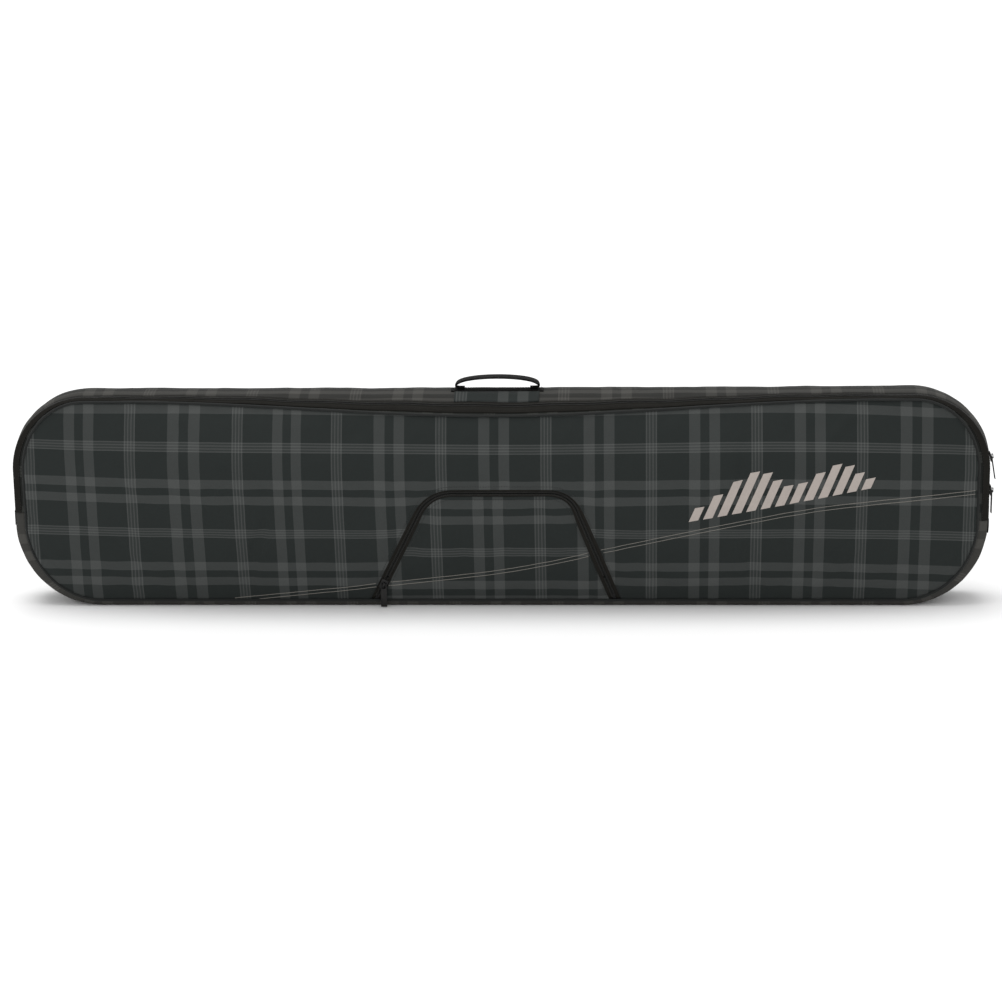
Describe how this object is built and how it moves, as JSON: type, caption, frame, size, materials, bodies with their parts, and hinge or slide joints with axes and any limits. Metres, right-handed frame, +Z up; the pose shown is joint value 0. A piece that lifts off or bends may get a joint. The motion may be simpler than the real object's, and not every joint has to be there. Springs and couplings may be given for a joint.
{
  "type": "snowboard bag",
  "caption": "Padded fabric bag for a snowboard, with a zip round the top and both ends, a grab handle and a zipped front pocket.",
  "frame": {"origin": "on the surface that the bag stands on, under the middle of its length and of its end depth", "axes": "+X along the bag to the right seen from the front, -Y out of the front panel, +Z up"},
  "size_m": [1.58, 0.1615, 0.372],
  "materials": {
    "plaid_cloth": "black woven polyester with grey plaid",
    "gusset_cloth": "black woven polyester with grey plaid",
    "foam": "matt foam sheet",
    "lining": "smooth nylon lining",
    "piping": "black welt",
    "zip_tape": "black knitted tape",
    "zip_coil": "black nylon coil",
    "webbing": "black woven webbing",
    "slider_metal": "glossy black enamel",
    "pull_rubber": "black moulded pull"
  },
  "bodies": {
    "root": {"back_panel": "plaid_cloth", "back_foam": "foam", "back_lining": "lining", "gusset_top": "gusset_cloth", "gusset_base": "gusset_cloth", "piping_back": "piping", "zip_tape_back": "zip_tape", "zip_coil_back": "zip_coil", "zip_end_tab_left": "webbing", "zip_end_tab_right": "webbing", "handle_base_web": "webbing", "handle_patch": "plaid_cloth"},
    "lid": {"front_panel": "plaid_cloth", "front_foam": "foam", "front_lining": "lining", "gusset_front_strip": "plaid_cloth", "piping_front": "piping", "zip_tape_front": "zip_tape", "zip_coil_front": "zip_coil", "pocket_tape_outer": "zip_tape", "pocket_coil_outer": "zip_coil", "pocket_skirt": "plaid_cloth", "pocket_pouch": "lining"},
    "flap": {"pocket_flap": "plaid_cloth", "pocket_tape_inner": "zip_tape", "pocket_coil_inner": "zip_coil"},
    "pocket_slider": {"pocket_slider": "slider_metal"},
    "pocket_pull": {"pocket_pull": "pull_rubber"},
    "slider_a": {"zip_slider_a": "slider_metal"},
    "pull_a": {"zip_pull_a": "pull_rubber"},
    "slider_b": {"zip_slider_b": "slider_metal"},
    "pull_b": {"zip_pull_b": "pull_rubber"},
    "handle": {"handle_loop": "webbing"}
  },
  "joints": [
    {"name": "lid_hinge", "type": "hinge", "parent": "root", "child": "lid", "pos_m": [0, -0.046, 0.01], "axis": [1, 0, 0], "range_deg": [0, 70]},
    {"name": "flap_fold", "type": "hinge", "parent": "lid", "child": "flap", "pos_m": [0, -0.05324, 0.052], "axis": [1, 0, 0], "range_deg": [0, 75]},
    {"name": "pocket_zip", "type": "slide", "parent": "lid", "child": "pocket_slider", "axis": [0.4327, -0.1768, 0.884], "range_m": [0, 0.1]},
    {"name": "pocket_pull_swing", "type": "hinge", "parent": "pocket_slider", "child": "pocket_pull", "pos_m": [-0.18609, -0.05574, 0.03904], "axis": [-1, 0, 0], "range_deg": [-6, 150]},
    {"name": "zip_a", "type": "slide", "parent": "root", "child": "slider_a", "axis": [0, 0, -1], "range_m": [0, 0.038]},
    {"name": "pull_a_swing", "type": "hinge", "parent": "slider_a", "child": "pull_a", "pos_m": [0.7874, -0.0345, 0.19], "axis": [0, -1, 0], "range_deg": [0, 160]},
    {"name": "zip_b", "type": "hinge", "parent": "root", "child": "slider_b", "pos_m": [0.6625, -0.0345, 0.225], "axis": [0, -1, 0], "range_deg": [0, 75]},
    {"name": "pull_b_swing", "type": "hinge", "parent": "slider_b", "child": "pull_b", "pos_m": [0.78567, -0.0345, 0.24572], "axis": [0, -1, 0], "range_deg": [0, 160]},
    {"name": "handle_tilt", "type": "hinge", "parent": "root", "child": "handle", "pos_m": [0, -0.001, 0.3564], "axis": [1, 0, 0], "range_deg": [-50, 50], "stiffness_Nm_per_rad": 0.05}
  ]
}
